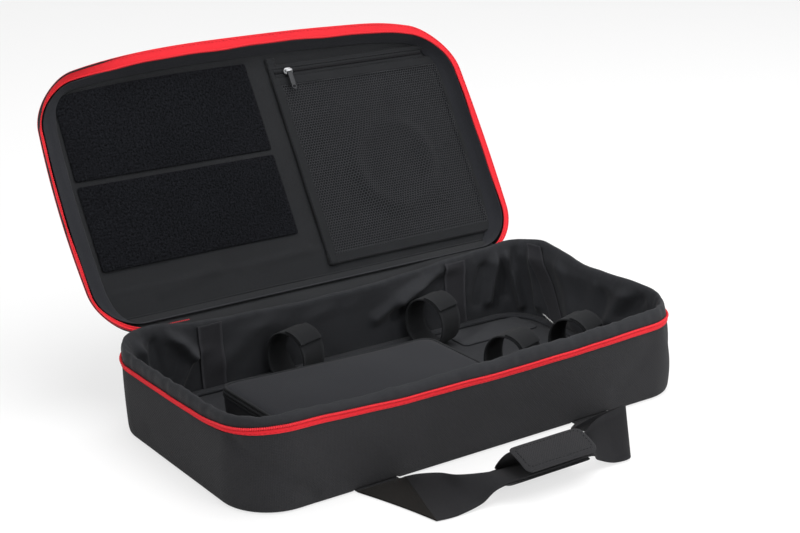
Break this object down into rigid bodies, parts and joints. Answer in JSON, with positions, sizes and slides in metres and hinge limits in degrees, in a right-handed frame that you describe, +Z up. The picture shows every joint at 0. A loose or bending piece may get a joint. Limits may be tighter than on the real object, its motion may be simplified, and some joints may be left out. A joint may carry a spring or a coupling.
{
  "type": "padded carry case",
  "caption": "Soft padded carry case in black fabric with red zips, open lid with loop panels and a mesh pocket, flapped organiser, strap loops and webbing handles",
  "frame": {"origin": "middle of the underside of the base, on the surface the case stands on", "axes": "+X to the right along the hinge as seen from the front, +Y from the front to the hinge, +Z up"},
  "size_m": [0.561, 0.638, 0.3367],
  "materials": {
    "outer_fabric": "matt woven",
    "lining_fabric": "matt woven",
    "organiser_fabric": "matt woven",
    "insert_fabric": "matt woven",
    "loop_pile": "matt pile",
    "mesh_fabric": "open mesh",
    "webbing": "ribbed",
    "padding": "foam",
    "board": "plain",
    "red_zip_tape": "woven",
    "red_zip_coil": "satin",
    "pocket_zip": "woven",
    "nickel": "polished",
    "dark_puller": "satin",
    "label": "plain"
  },
  "bodies": {
    "base": {"base_outer_wall": "outer_fabric", "base_bottom_panel": "outer_fabric", "base_bottom_board": "board", "base_wall_foam": "padding", "base_lining": "lining_fabric", "base_soft_rim": "lining_fabric", "soft_rim_runs": "lining_fabric", "base_zip_tape": "red_zip_tape", "base_zip_coil": "red_zip_coil", "zip_end_stop_left": "outer_fabric", "zip_end_stop_right": "outer_fabric", "base_hinge_strip": "outer_fabric", "hinge_welt": "outer_fabric", "floor_mat": "lining_fabric", "floor_insert": "insert_fabric", "rear_strip_left": "webbing", "rear_strip_right": "webbing", "side_strip": "webbing", "care_label": "label", "organiser_box": "organiser_fabric", "organiser_piping": "organiser_fabric", "strap_loop_1": "webbing", "strap_loop_2": "webbing", "strap_loop_3": "webbing", "strap_loop_4": "webbing", "handle_anchor_left": "webbing", "handle_anchor_right": "webbing"},
    "lid": {"lid_outer_panel": "outer_fabric", "lid_side_wall": "outer_fabric", "lid_board": "board", "lid_foam": "padding", "lid_lining": "lining_fabric", "lid_edge_binding": "lining_fabric", "lid_zip_tape": "red_zip_tape", "lid_zip_coil": "red_zip_coil", "lid_hinge_strip": "outer_fabric", "loop_panel_upper": "loop_pile", "loop_panel_lower": "loop_pile", "pocket_frame": "outer_fabric", "pocket_mesh": "mesh_fabric", "pocket_zip_tape": "pocket_zip", "pocket_zip_coil": "pocket_zip", "lid_anchor_left": "webbing", "lid_anchor_right": "webbing"},
    "organiser_flap": {"organiser_flap": "organiser_fabric", "organiser_flap_piping": "organiser_fabric"},
    "strap_tab_1": {"strap_tab_1": "webbing"},
    "strap_tab_2": {"strap_tab_2": "webbing"},
    "strap_tab_3": {"strap_tab_3": "webbing"},
    "strap_tab_4": {"strap_tab_4": "webbing"},
    "carry_handle": {"carry_handle": "webbing", "grip_pad": "outer_fabric"},
    "grip_flap": {"grip_flap": "outer_fabric"},
    "pocket_slider": {"pocket_slider": "nickel"},
    "pocket_puller": {"pocket_puller": "dark_puller"},
    "lid_handle": {"lid_handle": "webbing"},
    "main_slider_left": {"main_slider_left": "nickel"},
    "main_slider_right": {"main_slider_right": "nickel"},
    "main_puller_left": {"main_puller_left": "dark_puller"},
    "main_puller_right": {"main_puller_right": "dark_puller"}
  },
  "joints": [
    {"name": "lid_hinge", "type": "hinge", "parent": "base", "child": "lid", "pos_m": [0, 0.1495, 0.086], "axis": [-1, 0, 0], "range_deg": [-122, 58]},
    {"name": "organiser_flap_hinge", "type": "hinge", "parent": "base", "child": "organiser_flap", "pos_m": [-0.0848, -0.1255, 0.0582], "axis": [1, 0, 0], "range_deg": [0, 80]},
    {"name": "carry_handle_swing", "type": "hinge", "parent": "base", "child": "carry_handle", "pos_m": [0, -0.1485, 0.0023], "axis": [-1, 0, 0], "range_deg": [0, 50]},
    {"name": "grip_flap_hinge", "type": "hinge", "parent": "carry_handle", "child": "grip_flap", "pos_m": [0, -0.2287, 0.0437], "axis": [-1, 0, 0], "range_deg": [0, 100]},
    {"name": "lid_handle_swing", "type": "hinge", "parent": "lid", "child": "lid_handle", "pos_m": [0, 0.32709, 0.31322], "axis": [-1, 0, 0], "range_deg": [-120, 20]},
    {"name": "pocket_zip_slide", "type": "slide", "parent": "lid", "child": "pocket_slider", "axis": [1, 0, 0], "range_m": [0, 0.185]},
    {"name": "pocket_puller_swing", "type": "hinge", "parent": "pocket_slider", "child": "pocket_puller", "pos_m": [0.045, 0.30073, 0.31283], "axis": [-1, 0, 0], "range_deg": [0, 150]},
    {"name": "main_slider_left_slide", "type": "slide", "parent": "base", "child": "main_slider_left", "axis": [-1, 0, 0], "range_m": [0, 0.025]},
    {"name": "main_slider_right_slide", "type": "slide", "parent": "base", "child": "main_slider_right", "axis": [1, 0, 0], "range_m": [0, 0.025]},
    {"name": "main_puller_left_swing", "type": "hinge", "parent": "main_slider_left", "child": "main_puller_left", "pos_m": [-0.19, 0.14985, 0.082], "axis": [-1, 0, 0], "range_deg": [-60, 0]},
    {"name": "main_puller_right_swing", "type": "hinge", "parent": "main_slider_right", "child": "main_puller_right", "pos_m": [0.19, 0.14985, 0.082], "axis": [-1, 0, 0], "range_deg": [-60, 0]},
    {"name": "strap_tab_1_peel", "type": "hinge", "parent": "base", "child": "strap_tab_1", "pos_m": [-0.0743, 0.1063, 0.0727], "axis": [-0.9563, -0.2924, 0], "range_deg": [0, 90]},
    {"name": "strap_tab_2_peel", "type": "hinge", "parent": "base", "child": "strap_tab_2", "pos_m": [0.1143, 0.1063, 0.0727], "axis": [-0.9563, -0.2924, 0], "range_deg": [0, 90]},
    {"name": "strap_tab_3_peel", "type": "hinge", "parent": "base", "child": "strap_tab_3", "pos_m": [0.1133, -0.0423, 0.0727], "axis": [-0.9563, -0.2924, 0], "range_deg": [0, 90]},
    {"name": "strap_tab_4_peel", "type": "hinge", "parent": "base", "child": "strap_tab_4", "pos_m": [0.2063, -0.0423, 0.0727], "axis": [-0.9563, -0.2924, 0], "range_deg": [0, 90]}
  ]
}
